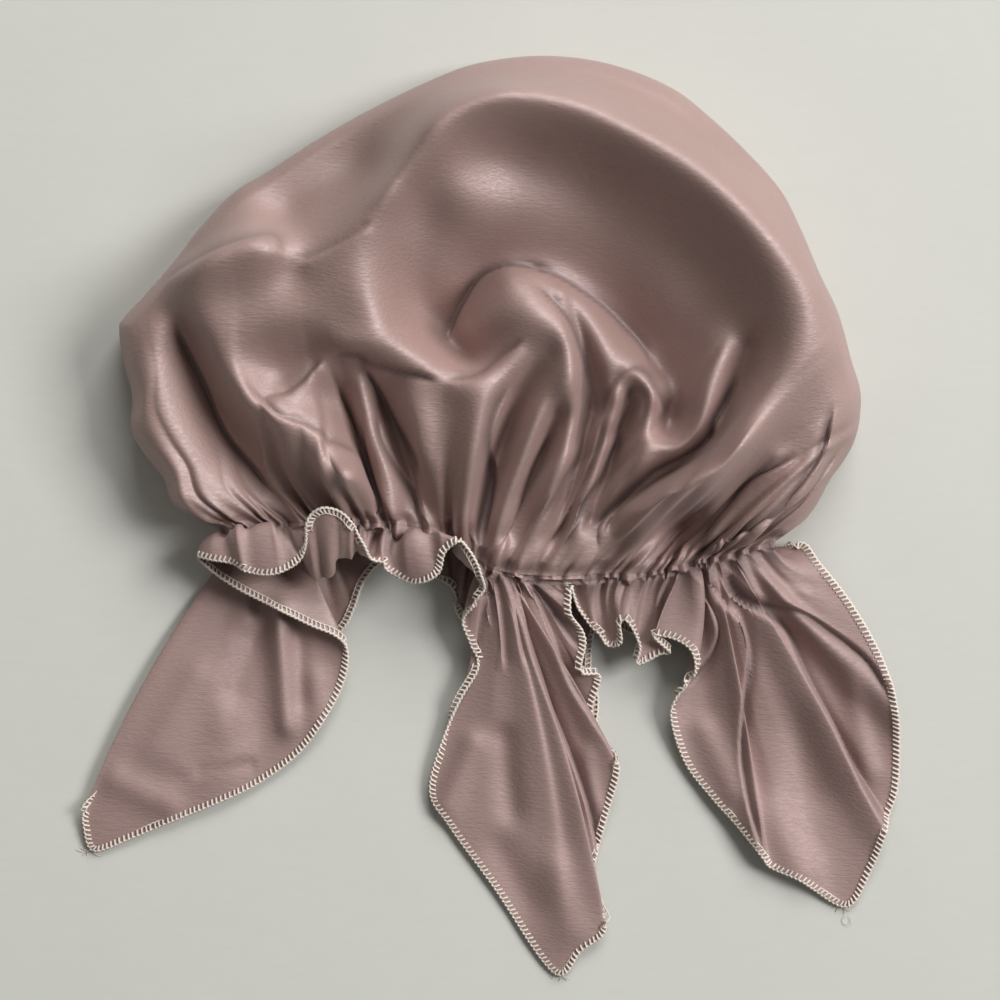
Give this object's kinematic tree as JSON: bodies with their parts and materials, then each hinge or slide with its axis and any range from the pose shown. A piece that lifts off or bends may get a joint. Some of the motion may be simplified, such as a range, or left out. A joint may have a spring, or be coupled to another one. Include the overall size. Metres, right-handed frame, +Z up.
{
  "type": "satin sleep bonnet",
  "caption": "Gathered satin sleep bonnet with a puffed crown, an elastic mouth, a ruffled edge and pointed corner tails, lying on its side.",
  "frame": {"origin": "on the surface the bonnet lies on, under the middle of its overall box", "axes": "+Z up from that surface, +Y from the mouth towards the top of the crown, +X to the right as seen from above with the tails towards the viewer"},
  "size_m": [0.3578, 0.4011, 0.0811],
  "materials": {
    "satin": "dusty rose satin, soft sheen on the right side and duller on the wrong side",
    "elastic": "woven elastic, matt off-white",
    "thread": "cream overlock thread"
  },
  "bodies": {
    "root": {"crown_front": "satin", "crown_back": "satin", "frill": "satin", "elastic_band": "elastic"}
  },
  "joints": []
}
